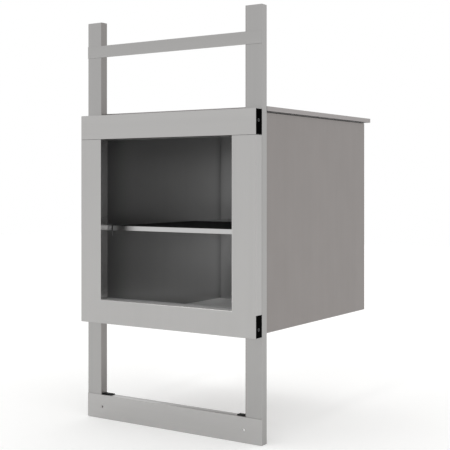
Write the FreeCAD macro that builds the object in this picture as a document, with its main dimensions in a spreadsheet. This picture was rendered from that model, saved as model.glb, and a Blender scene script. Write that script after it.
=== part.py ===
import FreeCAD, Part
import os
import re
import Sketcher

# Dumbwaiter lift: a car with one shelf that slides up and down on a two-post guide frame.
# +Z is up and the car is loaded from -Y. The origin is the middle of the frame's foot.

doc = FreeCAD.newDocument("dumbwaiter_lift")
sheet = doc.addObject("Spreadsheet::Sheet", "Sizes")

# Driving sizes in millimetres.
SIZES = {
    # guide frame: two folded posts, open to the rear, and two crossbars over their faces
    "frame_width": 700,
    "post_width": 60,
    "post_depth": 28,
    "post_sheet": 2,
    "post_above": 80,  # post left standing above the top crossbar
    "bar_sheet": 2,
    "bottom_bar_height": 80,
    "top_bar_height": 40,
    "bar_corner": 5,  # rounding of the bottom crossbar's lower corners
    "fixing_hole_dia": 8,
    "fixing_hole_inset": 65,  # from the frame's outer side
    "fixing_hole_rise": 40,
    # travel of the car, and the flat rubber buffers under it
    "travel_down": 245,
    "travel_up": 185,
    "buffer_length": 36,
    "buffer_depth": 20,
    "buffer_height": 3,
    "stop_gap": 8,  # left above the buffers with the car fully down
    "head_gap": 14,  # left under the top crossbar with the car fully up
    # surround: the car's face, in front of the posts
    "surround_depth": 35,
    "surround_sheet": 1.5,
    "lower_frame_height": 617,
    "header_height": 81,
    "stile_width": 87,
    "bottom_rail_height": 79,
    # slide shoes in the surround's corners, each held by one screw from the side
    "shoe_length": 30,
    "shoe_stand": 0.5,  # how far a shoe stands out of the surround's back
    "shoe_gap": 0.3,  # running gap to the post's face
    "shoe_rib": 2,
    "lower_shoe_height": 70,
    "shoe_screw_dia": 6,
    "shoe_screw_reach": 4,  # past the rib it is screwed into
    "shoe_screw_head_dia": 11,
    "shoe_screw_head_height": 4,
    "shoe_recess_dia": 13,
    "shoe_recess_depth": 5,
    "shoe_hole_clearance": 0.4,  # on the diameter
    "upper_screw_rise": 45,  # from the header's lower edge
    "lower_screw_rise": 26,  # from the surround's lower edge
    # liner: the welded inner box that reaches forward between the posts
    "liner_gap": 3.5,  # to the posts' inner sides
    "liner_sheet": 1.5,
    "floor_sheet": 2,
    "rear_cavity": 19,
    # case: the outer skin, behind the posts
    "cabin_gap": 2,  # to the posts' rear edges
    "cabin_depth": 706,
    "cabin_lift": 7,  # of the case's underside over the surround's lower edge
    "cabin_inset": 12,  # of the case's sides from the frame's outer sides
    "case_sheet": 1.5,
    "guide_plate_sheet": 3,
    "rear_post_width": 18,
    "rear_post_sheet": 2,
    "rear_screw_dia": 5,
    "rear_screw_head_dia": 9,
    "rear_screw_head_height": 2.5,
    "rear_screw_reach": 4,  # past the rear post
    "rear_screw_margin": 60,  # from the case's top and bottom to the end screws
    # cover: a sheet pan over a board
    "cover_height": 14.5,
    "cover_drop": 5.5,  # of the cover's underside below the header's top
    "cover_groove": 3.5,  # shadow gap between the case's sides and the cover
    "cover_overhang": 26,  # behind the case
    "cover_sheet": 1.5,
    # shelf: a folded tray with a rubber mat let into it in front of a bare rear margin
    "lower_room": 298,  # clear height from the floor to the shelf
    "shelf_height": 15.8,
    "shelf_setback": 20,  # of the shelf's front from the sill's back
    "shelf_sheet": 1.5,
    "shelf_side_gap": 3,
    "shelf_rear_gap": 5,
    "mat_thickness": 4,
    "mat_margin": 170,  # bare tray behind the mat
    "mat_gap": 0.3,
    "shelf_gap": 0.3,  # running gap over the runners
    "runner_width": 20,
    "runner_sheet": 1.5,
    # guide rollers, which run inside the posts
    "bracket_sheet": 3,
    "bracket_height": 64,
    "bracket_margin": 3,  # to the floor and to the ceiling
    "cheek_height": 24,
    "cheek_nose": 8,  # of a cheek in front of the axle
    "cheek_end_clear": 10.5,  # to the post's outer flange
    "roller_gap": 0.3,
    "roller_side_gap": 0.5,
    "roller_back_clear": 4.7,
    "roller_fit": 0.05,  # radial, on the axle
    "roller_axle_dia": 6,
    "bracket_bolt_dia": 5,
    "bracket_bolt_head_dia": 8.5,
    "bracket_bolt_head_height": 3,
    "bracket_bolt_reach": 4,  # past the guide plate
    "bracket_bolt_spacing": 46,
    # belt drive: one belt in each post, driven together by a cross shaft
    "belt_width": 12,
    "belt_thickness": 1.5,
    "belt_side_clear": 4,  # to the post's inner flange
    "belt_clear": 1.2,  # to the post's face and to the roller brackets
    "belt_run_gap": 0.3,  # to the pulleys and the clamps
    "cheek_clear": 2.5,  # belt to the bracket's inner cheek
    "pulley_flange": 1.2,
    "pulley_flange_rise": 2.5,
    "shaft_dia": 12,
    "shaft_end": 3,  # past the pulley
    "bush_wall": 2,
    "bush_length": 8,
    "bush_fit": 0.05,  # radial
    "idler_axle_dia": 8,
    "idler_head_dia": 12,
    "idler_head_height": 3,
    "idler_rise": 40,
    "clamp_height": 40,
    "clamp_wall": 2.4,
    "clamp_drop": 15.5,  # below the upper roller brackets
}

# Places and sizes that follow from the driving ones.
PLACES = {
    "half": "frame_width / 2",
    "post_centre": "half - post_width / 2",
    "post_half": "post_width / 2",
    "post_half_in": "post_half - post_sheet",
    "post_inner": "half - post_width",
    "face_front": "-post_depth / 2",
    "face_rear": "post_depth / 2",
    "web_back": "face_front + post_sheet",
    "fixing_x": "half - fixing_hole_inset",
    "fixing_radius": "fixing_hole_dia / 2",
    "bottom_bar_lip": "bottom_bar_height - bar_sheet",
    "top_bar_lip": "top_bar_height - bar_sheet",
    # the car at rest
    "case_bottom": "bottom_bar_height + buffer_height + stop_gap + travel_down",
    "car_bottom": "case_bottom - cabin_lift",
    "window_bottom": "car_bottom + bottom_rail_height",
    "header_bottom": "car_bottom + lower_frame_height",
    "header_top": "header_bottom + header_height",
    "top_bar_bottom": "header_top + travel_up + head_gap",
    "frame_height": "top_bar_bottom + top_bar_height + post_above",
    # surround
    "shoe_back": "face_front - shoe_gap",
    "surround_back": "shoe_back - shoe_stand",
    "surround_front": "surround_back - surround_depth",
    "skin_back": "surround_front + surround_sheet",
    "window_half": "half - stile_width",
    "skin_x": "half - surround_sheet",
    "shoe_x": "half - shoe_length",
    "rib_x": "shoe_x - shoe_rib",
    "rib_z": "lower_shoe_height + shoe_rib",
    "return_x": "window_half + surround_sheet",
    "return_z": "bottom_rail_height - surround_sheet",
    "header_lip": "header_height - surround_sheet",
    "shoe_middle": "(skin_back + shoe_back) / 2",
    "screw_from_back": "shoe_middle - surround_back",
    "shoe_screw_radius": "shoe_screw_dia / 2",
    "recess_x": "half - shoe_recess_depth",
    # liner
    "liner_outer": "post_inner - liner_gap",
    "liner_inner": "liner_outer - liner_sheet",
    "sill_back": "face_rear + cabin_gap",
    "sill_web": "sill_back - liner_sheet",
    "sill_fold": "window_bottom - liner_sheet",
    "sill_foot": "case_bottom + liner_sheet",
    "lintel_fold": "header_bottom + liner_sheet",
    "floor_bottom": "case_bottom + case_sheet",
    "floor_top": "floor_bottom + floor_sheet",
    "cover_bottom": "header_top - cover_drop",
    "ceiling": "cover_bottom - liner_sheet",
    # case and cover
    "case_rear": "sill_back + cabin_depth",
    "rear_skin": "case_rear - case_sheet",
    "liner_rear": "rear_skin - rear_cavity",
    "liner_back": "liner_rear - liner_sheet",
    "case_outer": "half - cabin_inset",
    "case_inner": "case_outer - case_sheet",
    "rear_post_inner": "case_inner - rear_post_width",
    "rear_post_front": "rear_skin - rear_post_width",
    "rear_screw_x": "case_inner - rear_post_width / 2 - rear_post_sheet / 2",
    "guide_back": "sill_back + guide_plate_sheet",
    "cover_top": "cover_bottom + cover_height",
    "case_top": "cover_bottom - cover_groove",
    "cover_rear": "case_rear + cover_overhang",
    # shelf
    "runner_top": "shelf_bottom - shelf_gap",
    "shelf_bottom": "floor_top + lower_room",
    "shelf_top": "shelf_bottom + shelf_height",
    "shelf_half": "liner_inner - shelf_side_gap",
    "shelf_front": "sill_back + shelf_setback",
    "shelf_rear": "liner_back - shelf_rear_gap",
    "mat_rear": "shelf_rear - mat_margin",
    "mat_bottom": "shelf_top - mat_thickness",
    "tray_plate": "mat_bottom - shelf_sheet",
    # guide rollers
    "bracket_front": "sill_back - bracket_sheet",
    "post_channel": "bracket_front - web_back",
    "roller_radius": "(post_channel - roller_gap - roller_back_clear) / 2",
    "roller_y": "web_back + roller_gap + roller_radius",
    "belt_x": "post_inner + post_sheet + belt_side_clear",
    "belt_end_x": "belt_x + belt_width",
    "cheek_x": "belt_end_x + cheek_clear",
    "bracket_end_x": "half - post_sheet - cheek_end_clear",
    "bracket_x": "(cheek_x + bracket_end_x) / 2",
    "roller_x": "cheek_x + bracket_sheet + roller_side_gap",
    "roller_end_x": "bracket_end_x - bracket_sheet - roller_side_gap",
    "upper_roller_z": "ceiling - bracket_margin - bracket_height / 2",
    "lower_roller_z": "floor_top + bracket_margin + bracket_height / 2",
    # belt drive
    "pulley_radius": "post_channel / 2 - belt_clear - belt_thickness - belt_run_gap",
    "belt_inner": "pulley_radius + belt_run_gap",
    "belt_outer": "belt_inner + belt_thickness",
    "drive_y": "web_back + belt_clear + belt_outer",
    "shaft_z": "top_bar_bottom + top_bar_height / 2",
    "pulley_near": "pulley_flange",
    "pulley_far": "pulley_flange + belt_width + 2 * belt_run_gap",
    "pulley_width": "pulley_far + pulley_flange",
    "pulley_x": "belt_x - belt_run_gap - pulley_flange",
    "pulley_end_x": "pulley_x + pulley_width",
    "flange_radius": "pulley_radius + pulley_flange_rise",
    "shaft_radius": "shaft_dia / 2",
    "bush_radius": "shaft_radius + bush_fit + bush_wall",
    "idler_radius": "idler_axle_dia / 2",
    "idler_bore": "idler_radius + bush_fit",
    "clamp_top": "upper_roller_z - bracket_height / 2 - clamp_drop",
    "clamp_bottom": "clamp_top - clamp_height",
}

for row, (name, value) in enumerate([*SIZES.items(), *PLACES.items()], start=1):
    sheet.set(f"A{row}", name)
    sheet.set(f"B{row}", f"={value}" if name in PLACES else str(value))
    sheet.setAlias(f"B{row}", name)
doc.recompute()

NODES = []
SIDES = {"left": -1, "right": 1}
X_AXIS = FreeCAD.Rotation(FreeCAD.Vector(0, 1, 0), 90)
Y_AXIS = FreeCAD.Rotation(FreeCAD.Vector(1, 0, 0), -90)


def linked(formula):
    """The formula with each named size looked up in the sheet."""
    return re.sub(r"[a-z][a-z_]+", lambda found: f"Sizes.{found.group()}", formula)


def bind(piece, prop, formula):
    piece.setExpression(prop, linked(formula))


def place(piece, x, y, z, rotation=None):
    if rotation:
        piece.Placement = FreeCAD.Placement(FreeCAD.Vector(), rotation)
    for axis, formula in zip("xyz", (x, y, z)):
        bind(piece, f"Placement.Base.{axis}", formula)
    return piece


def node(piece, name=None):
    """Keep a finished piece under its own name."""
    piece.Label = name or piece.Name
    NODES.append(piece)
    return piece


def across(side, near, far):
    """The span from near to far on one side of the middle, low end first."""
    return (near, far) if side > 0 else (f"-({far})", f"-({near})")


def box(name, x, y, z):
    """A block between three spans."""
    block = doc.addObject("Part::Box", name)
    for prop, (low, high) in zip(("Length", "Width", "Height"), (x, y, z)):
        bind(block, prop, f"({high}) - ({low})")
    return place(block, x[0], y[0], z[0])


def rod(name, axis, start, length, radius):
    """A cylinder from its start point along +X or +Y."""
    cylinder = doc.addObject("Part::Cylinder", name)
    bind(cylinder, "Radius", radius)
    bind(cylinder, "Height", length)
    return place(cylinder, *start, rotation=axis)


def cross_rod(name, side, near, far, y, z, radius):
    """A cylinder along X between two distances from the middle, on one side of it."""
    start = across(side, near, far)[0]
    return rod(name, X_AXIS, (start, y, z), f"({far}) - ({near})", radius)


def fuse(name, pieces):
    union = doc.addObject("Part::MultiFuse", name)
    union.Shapes = pieces
    return union


def cut(name, base, *tools):
    rest = doc.addObject("Part::Cut", name)
    rest.Base = base
    rest.Tool = tools[0] if len(tools) == 1 else fuse(f"{name}_tools", list(tools))
    return rest


def group(name, pieces):
    """Several equal, separate solids in one node."""
    together = doc.addObject("Part::Compound", name)
    together.Links = pieces
    return node(together)


def body(name, x="0", y="0", z="0"):
    return place(doc.addObject("PartDesign::Body", name), x, y, z)


def sketch_on(owner, plane, name):
    """A sketch on one of its own body's origin planes."""
    sketch = owner.newObject("Sketcher::SketchObject", f"{owner.Name}_{name}")
    origin_plane = next(item for item in owner.Origin.OriginFeatures if item.Role == plane)
    sketch.AttachmentSupport = [(origin_plane, "")]
    sketch.MapMode = "FlatFace"
    return sketch


def value_of(text):
    size = 0.0 if text.strip("-") == "0" else float(sheet.get(text.strip("-")))
    return -size if text.startswith("-") else size


def pin_point(sketch, geometry, point, x, y):
    """Fix a point of the sketch to its two named coordinates."""
    for kind, axis, text in (("DistanceX", -2, x), ("DistanceY", -1, y)):
        if text == "0":
            sketch.addConstraint(Sketcher.Constraint("PointOnObject", geometry, point, axis))
            continue
        distance = Sketcher.Constraint(kind, -1, 1, geometry, point, value_of(text))
        number = sketch.addConstraint(distance)
        bind(sketch, f"Constraints[{number}]", text)


def outline(sketch, corners):
    """A closed run of straight lines through named corners."""
    points = [FreeCAD.Vector(value_of(x), value_of(y), 0) for x, y in corners]
    first = sketch.GeometryCount
    for start, end in zip(points, points[1:] + points[:1]):
        sketch.addGeometry(Part.LineSegment(start, end), False)
    for index, (x, y) in enumerate(corners):
        before = first + (index - 1) % len(corners)
        sketch.addConstraint(Sketcher.Constraint("Coincident", before, 2, first + index, 1))
        pin_point(sketch, first + index, 1, x, y)


def rectangle(sketch, x, y):
    outline(sketch, [(x[0], y[0]), (x[1], y[0]), (x[1], y[1]), (x[0], y[1])])


def circle(sketch, x, y, radius):
    centre = FreeCAD.Vector(value_of(x), value_of(y), 0)
    ring = sketch.addGeometry(Part.Circle(centre, FreeCAD.Vector(0, 0, 1), value_of(radius)), False)
    pin_point(sketch, ring, 3, x, y)
    number = sketch.addConstraint(Sketcher.Constraint("Radius", ring, value_of(radius)))
    bind(sketch, f"Constraints[{number}]", radius)


def pad(owner, sketch, length, reverse=False):
    feature = owner.newObject("PartDesign::Pad", f"{sketch.Name}_pad")
    feature.Profile = sketch
    feature.Reversed = reverse
    bind(feature, "Length", length)
    sketch.Visibility = False
    return feature


def pocket(owner, sketch, length=None, reverse=False):
    """A pocket of a given depth, or through everything on its side of the sketch."""
    feature = owner.newObject("PartDesign::Pocket", f"{sketch.Name}_pocket")
    feature.Profile = sketch
    feature.Reversed = reverse
    if length:
        bind(feature, "Length", length)
    else:
        feature.Type = "ThroughAll"
    sketch.Visibility = False
    return feature


# --- Guide frame -----------------------------------------------------------------------

def make_post(name, side):
    """A folded channel with its web to the front; the drive's axles sit in its inner flange."""
    post = body(f"post_{name}", x=f"{side} * post_centre")
    profile = sketch_on(post, "XY_Plane", "profile")
    outline(profile, [
        ("-post_half", "face_front"), ("post_half", "face_front"),
        ("post_half", "face_rear"), ("post_half_in", "face_rear"),
        ("post_half_in", "web_back"), ("-post_half_in", "web_back"),
        ("-post_half_in", "face_rear"), ("-post_half", "face_rear"),
    ])
    pad(post, profile, "frame_height")
    holes = sketch_on(post, "YZ_Plane", "axle_holes")
    circle(holes, "drive_y", "shaft_z", "bush_radius")
    circle(holes, "drive_y", "idler_rise", "idler_radius")
    pocket(post, holes, reverse=side < 0)
    node(post)


def make_crossbar(name, z, height, folds):
    """A face over both posts, with its flanges folded back between them."""
    bar = body(f"{name}_crossbar", y="face_front", z=z)
    face = sketch_on(bar, "XZ_Plane", "face")
    rectangle(face, ("-half", "half"), ("0", height))
    pad(bar, face, "bar_sheet")
    flanges = sketch_on(bar, "XZ_Plane", "flanges")
    for fold in folds:
        rectangle(flanges, ("-post_inner", "post_inner"), fold)
    pad(bar, flanges, "post_depth", reverse=True)
    return node(bar)


def finish_bottom_crossbar(bar):
    """Fixing holes through the face, and rounded lower corners."""
    holes = sketch_on(bar, "XZ_Plane", "fixing_holes")
    circle(holes, "-fixing_x", "fixing_hole_rise", "fixing_radius")
    circle(holes, "fixing_x", "fixing_hole_rise", "fixing_radius")
    drilled = pocket(bar, holes, reverse=True)
    doc.recompute()
    corners = [
        f"Edge{number}" for number, edge in enumerate(drilled.Shape.Edges, start=1)
        if abs(edge.Length - value_of("bar_sheet")) < 0.01
        and all(abs(abs(point.Point.x) - value_of("half")) < 0.01 for point in edge.Vertexes)
        and all(abs(point.Point.z) < 0.01 for point in edge.Vertexes)
    ]
    rounding = bar.newObject("PartDesign::Fillet", "bottom_crossbar_corners")
    rounding.Base = (drilled, corners)
    bind(rounding, "Radius", "bar_corner")


for name, side in SIDES.items():
    make_post(name, side)
make_crossbar("top", "top_bar_bottom", "top_bar_height", [("top_bar_lip", "top_bar_height")])
finish_bottom_crossbar(make_crossbar(
    "bottom", "0", "bottom_bar_height",
    [("0", "bar_sheet"), ("bottom_bar_lip", "bottom_bar_height")],
))

for name, side in SIDES.items():
    node(box(
        f"buffer_{name}",
        across(side, "post_inner - buffer_length", "post_inner"),
        ("face_rear - buffer_depth", "face_rear"),
        ("bottom_bar_height", "bottom_bar_height + buffer_height"),
    ))


# --- Belt drive ------------------------------------------------------------------------

def stadium(name, side, radius):
    """The block that a loop round both pulleys encloses, at the given radius."""
    straight = box(
        f"{name}_straight", across(side, "belt_x", "belt_end_x"),
        (f"drive_y - ({radius})", f"drive_y + ({radius})"), ("idler_rise", "shaft_z"),
    )
    foot = cross_rod(f"{name}_foot", side, "belt_x", "belt_end_x", "drive_y", "idler_rise", radius)
    head = cross_rod(f"{name}_head", side, "belt_x", "belt_end_x", "drive_y", "shaft_z", radius)
    return fuse(name, [straight, foot, head])


def make_pulley(name, x, z, bore):
    """A flanged pulley turned about X."""
    pulley = body(name, x=x, y="drive_y", z=z)
    section = sketch_on(pulley, "XY_Plane", "section")
    outline(section, [
        ("0", bore), ("pulley_width", bore),
        ("pulley_width", "flange_radius"), ("pulley_far", "flange_radius"),
        ("pulley_far", "pulley_radius"), ("pulley_near", "pulley_radius"),
        ("pulley_near", "flange_radius"), ("0", "flange_radius"),
    ])
    turned = pulley.newObject("PartDesign::Revolution", f"{name}_turned")
    turned.Profile = section
    turned.ReferenceAxis = (section, ["H_Axis"])
    turned.Angle = 360
    section.Visibility = False
    node(pulley)


def make_bush(name, side):
    span = ("pulley_x - bush_length", "pulley_x", "drive_y", "shaft_z")
    outer = cross_rod(f"{name}_outer", side, *span, "bush_radius")
    bore = cross_rod(f"{name}_bore", side, *span, "shaft_radius + bush_fit")
    return cut(name, outer, bore)


def make_idler_axle(name, side):
    head = cross_rod(
        f"{name}_head", side, "post_inner - idler_head_height", "post_inner",
        "drive_y", "idler_rise", "idler_head_dia / 2",
    )
    pin = cross_rod(
        f"{name}_pin", side, "post_inner", "pulley_end_x",
        "drive_y", "idler_rise", "idler_radius",
    )
    return fuse(name, [head, pin])


for name, side in SIDES.items():
    loop = stadium(f"belt_{name}_loop", side, "belt_outer")
    inside = stadium(f"belt_{name}_inside", side, "belt_inner")
    node(cut(f"belt_{name}", loop, inside))
    pulley_start = across(side, "pulley_x", "pulley_end_x")[0]
    make_pulley(f"drive_pulley_{name}", pulley_start, "shaft_z", "shaft_radius")
    make_pulley(f"idler_pulley_{name}", pulley_start, "idler_rise", "idler_bore")

node(rod(
    "cross_shaft", X_AXIS, ("-(pulley_end_x + shaft_end)", "drive_y", "shaft_z"),
    "2 * (pulley_end_x + shaft_end)", "shaft_radius",
))
group("shaft_bushes", [make_bush(f"shaft_bush_{name}", side) for name, side in SIDES.items()])
group("idler_axles", [make_idler_axle(f"idler_axle_{name}", side) for name, side in SIDES.items()])


# --- Surround --------------------------------------------------------------------------

def make_lower_frame():
    """Both stiles and the bottom rail, folded from one sheet and open to the rear."""
    frame = body("lower_frame", y="surround_back", z="car_bottom")
    face = sketch_on(frame, "XZ_Plane", "face")
    outline(face, [
        ("-half", "0"), ("half", "0"),
        ("half", "lower_frame_height"), ("window_half", "lower_frame_height"),
        ("window_half", "bottom_rail_height"), ("-window_half", "bottom_rail_height"),
        ("-window_half", "lower_frame_height"), ("-half", "lower_frame_height"),
    ])
    pad(frame, face, "surround_depth")
    hollow = sketch_on(frame, "XZ_Plane", "hollow")
    outline(hollow, [
        ("-skin_x", "rib_z"), ("-rib_x", "rib_z"), ("-rib_x", "surround_sheet"),
        ("rib_x", "surround_sheet"), ("rib_x", "rib_z"), ("skin_x", "rib_z"),
        ("skin_x", "lower_frame_height"), ("return_x", "lower_frame_height"),
        ("return_x", "return_z"), ("-return_x", "return_z"),
        ("-return_x", "lower_frame_height"), ("-skin_x", "lower_frame_height"),
    ])
    pocket(frame, hollow, "surround_depth - surround_sheet", reverse=True)
    seats = sketch_on(frame, "XZ_Plane", "shoe_seats")
    rectangle(seats, ("shoe_x", "half"), ("surround_sheet", "lower_shoe_height"))
    rectangle(seats, ("-half", "-shoe_x"), ("surround_sheet", "lower_shoe_height"))
    pocket(frame, seats, "surround_depth - surround_sheet", reverse=True)
    lips = sketch_on(frame, "XZ_Plane", "lips")
    rectangle(lips, ("return_x", "liner_outer"), ("bottom_rail_height", "lower_frame_height"))
    rectangle(lips, ("-liner_outer", "-return_x"), ("bottom_rail_height", "lower_frame_height"))
    pad(frame, lips, "surround_sheet")
    drill_ribs(frame, "lower_screw_rise")
    node(frame)


def make_header():
    """The header rail, a separate folded piece over the stiles."""
    header = body("header_rail", y="surround_back", z="header_bottom")
    face = sketch_on(header, "XZ_Plane", "face")
    rectangle(face, ("-half", "half"), ("0", "header_height"))
    pad(header, face, "surround_depth")
    hollow = sketch_on(header, "XZ_Plane", "hollow")
    rectangle(hollow, ("-rib_x", "rib_x"), ("surround_sheet", "header_lip"))
    rectangle(hollow, ("shoe_x", "half"), ("surround_sheet", "header_lip"))
    rectangle(hollow, ("-half", "-shoe_x"), ("surround_sheet", "header_lip"))
    pocket(header, hollow, "surround_depth - surround_sheet", reverse=True)
    drill_ribs(header, "upper_screw_rise")
    node(header)


def drill_ribs(owner, rise):
    """Tapped holes for the shoe screws, through the rib at each end."""
    for name, side in SIDES.items():
        holes = sketch_on(owner, "YZ_Plane", f"screw_hole_{name}")
        circle(holes, "screw_from_back", rise, "shoe_screw_radius")
        pocket(owner, holes, reverse=side > 0)


def make_shoe(name, side, z, screw_z):
    """A moulded block with a recessed hole for its screw."""
    block = box(f"{name}_block", across(side, "shoe_x", "half"), ("skin_back", "shoe_back"), z)
    hole = cross_rod(
        f"{name}_hole", side, "shoe_x", "half",
        "shoe_middle", screw_z, "(shoe_screw_dia + shoe_hole_clearance) / 2",
    )
    recess = cross_rod(
        f"{name}_recess", side, "recess_x", "half",
        "shoe_middle", screw_z, "shoe_recess_dia / 2",
    )
    node(cut(name, block, hole, recess))


def make_shoe_screw(name, side, screw_z):
    head = cross_rod(
        f"{name}_head", side, "recess_x", "recess_x + shoe_screw_head_height",
        "shoe_middle", screw_z, "shoe_screw_head_dia / 2",
    )
    shank = cross_rod(
        f"{name}_shank", side, "rib_x - shoe_screw_reach", "recess_x",
        "shoe_middle", screw_z, "shoe_screw_radius",
    )
    return fuse(name, [head, shank])


make_lower_frame()
make_header()
SHOE_LEVELS = {
    "upper": (
        ("header_bottom + surround_sheet", "header_top - surround_sheet"),
        "header_bottom + upper_screw_rise",
    ),
    "lower": (
        ("car_bottom + surround_sheet", "car_bottom + lower_shoe_height"),
        "car_bottom + lower_screw_rise",
    ),
}
shoe_screws = []
for level, (span, screw_z) in SHOE_LEVELS.items():
    for name, side in SIDES.items():
        make_shoe(f"slide_shoe_{level}_{name}", side, span, screw_z)
        shoe_screws.append(make_shoe_screw(f"shoe_screw_{level}_{name}", side, screw_z))
group("shoe_screws", shoe_screws)


# --- Liner -----------------------------------------------------------------------------

def make_strip(name, corners):
    """A folded strip that runs across the car between the liner's sides."""
    strip = body(name, x="-liner_inner")
    section = sketch_on(strip, "YZ_Plane", "section")
    outline(section, corners)
    pad(strip, section, "2 * liner_inner")
    node(strip)


make_strip("sill", [
    ("surround_back", "sill_fold"), ("sill_web", "sill_fold"),
    ("sill_web", "sill_foot"), ("surround_back", "sill_foot"),
    ("surround_back", "case_bottom"), ("sill_back", "case_bottom"),
    ("sill_back", "window_bottom"), ("surround_back", "window_bottom"),
])
make_strip("lintel", [
    ("surround_back", "header_bottom"), ("sill_back", "header_bottom"),
    ("sill_back", "ceiling"), ("sill_web", "ceiling"),
    ("sill_web", "lintel_fold"), ("surround_back", "lintel_fold"),
])
for name, side in SIDES.items():
    node(box(
        f"liner_{name}", across(side, "liner_inner", "liner_outer"),
        ("surround_back", "liner_back"), ("floor_top", "ceiling"),
    ))
node(box(
    "liner_back_wall", ("-liner_outer", "liner_outer"),
    ("liner_back", "liner_rear"), ("floor_top", "ceiling"),
))
node(box(
    "cabin_floor", ("-case_inner", "case_inner"),
    ("sill_back", "rear_skin"), ("floor_bottom", "floor_top"),
))
node(box(
    "cabin_ceiling", ("-case_inner", "case_inner"),
    ("sill_back", "rear_skin"), ("ceiling", "cover_bottom"),
))


# --- Case ------------------------------------------------------------------------------

def make_guide_plate(name, side):
    """The case's front wall behind one post; it carries that side's rollers and belt clamp."""
    plate = box(
        f"{name}_blank", across(side, "liner_outer", "case_inner"),
        ("sill_back", "guide_back"), ("floor_top", "ceiling"),
    )
    holes = [
        bolt_hole(f"{name}_hole_{number}", side, z)
        for number, z in enumerate(bolt_heights("upper") + bolt_heights("lower"))
    ]
    node(cut(name, plate, *holes))


def bolt_heights(level):
    return [
        f"{level}_roller_z - bracket_bolt_spacing / 2",
        f"{level}_roller_z + bracket_bolt_spacing / 2",
    ]


def bolt_hole(name, side, z):
    start = (f"{side} * bracket_x", "bracket_front", z)
    return rod(name, Y_AXIS, start, "guide_back - bracket_front", "bracket_bolt_dia / 2")


def make_rear_post(name, side):
    """An angle in the rear corner that takes the rear panel's screws."""
    blank = box(
        f"{name}_blank", across(side, "rear_post_inner", "case_inner"),
        ("rear_post_front", "rear_skin"), ("floor_top", "ceiling"),
    )
    inside = box(
        f"{name}_inside", across(side, "rear_post_inner", "case_inner - rear_post_sheet"),
        ("rear_post_front", "rear_skin - rear_post_sheet"), ("floor_top", "ceiling"),
    )
    holes = [
        rear_screw_hole(f"{name}_hole_{number}", side, z)
        for number, z in enumerate(REAR_SCREW_HEIGHTS)
    ]
    node(cut(name, blank, inside, *holes))


def rear_screw_hole(name, side, z):
    start = (f"{side} * rear_screw_x", "rear_skin - rear_post_sheet", z)
    return rod(name, Y_AXIS, start, "rear_post_sheet + case_sheet", "rear_screw_dia / 2")


def make_rear_screw(name, side, z):
    head = rod(
        f"{name}_head", Y_AXIS, (f"{side} * rear_screw_x", "case_rear", z),
        "rear_screw_head_height", "rear_screw_head_dia / 2",
    )
    tip = "rear_skin - rear_post_sheet - rear_screw_reach"
    shank = rod(
        f"{name}_shank", Y_AXIS, (f"{side} * rear_screw_x", tip, z),
        f"case_rear - ({tip})", "rear_screw_dia / 2",
    )
    return fuse(name, [head, shank])


REAR_SCREW_HEIGHTS = [
    "floor_top + rear_screw_margin",
    "(floor_top + ceiling) / 2",
    "ceiling - rear_screw_margin",
]

node(box(
    "bottom_pan", ("-case_inner", "case_inner"),
    ("sill_back", "rear_skin"), ("case_bottom", "floor_bottom"),
))
for name, side in SIDES.items():
    node(box(
        f"side_panel_{name}", across(side, "case_inner", "case_outer"),
        ("sill_back", "case_rear"), ("case_bottom", "case_top"),
    ))
    make_guide_plate(f"guide_plate_{name}", side)
    make_rear_post(f"rear_post_{name}", side)

rear_blank = box(
    "rear_panel_blank", ("-case_inner", "case_inner"),
    ("rear_skin", "case_rear"), ("case_bottom", "case_top"),
)
rear_places = [
    (f"{name}_{number}", side, z)
    for name, side in SIDES.items()
    for number, z in enumerate(REAR_SCREW_HEIGHTS)
]
rear_holes = [rear_screw_hole(f"rear_panel_hole_{label}", side, z) for label, side, z in rear_places]
node(cut("rear_panel", rear_blank, *rear_holes))
group("rear_panel_screws", [
    make_rear_screw(f"rear_panel_screw_{label}", side, z) for label, side, z in rear_places
])

cover_blank = box(
    "cover_blank", ("-half", "half"), ("sill_back", "cover_rear"), ("cover_bottom", "cover_top"),
)
CORE_SPANS = (
    ("-(half - cover_sheet)", "half - cover_sheet"),
    ("sill_back + cover_sheet", "cover_rear - cover_sheet"),
    ("cover_bottom", "cover_top - cover_sheet"),
)
node(cut("top_cover", cover_blank, box("cover_inside", *CORE_SPANS)))
node(box("cover_board", *CORE_SPANS))


# --- Guide rollers and belt clamps -----------------------------------------------------

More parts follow.
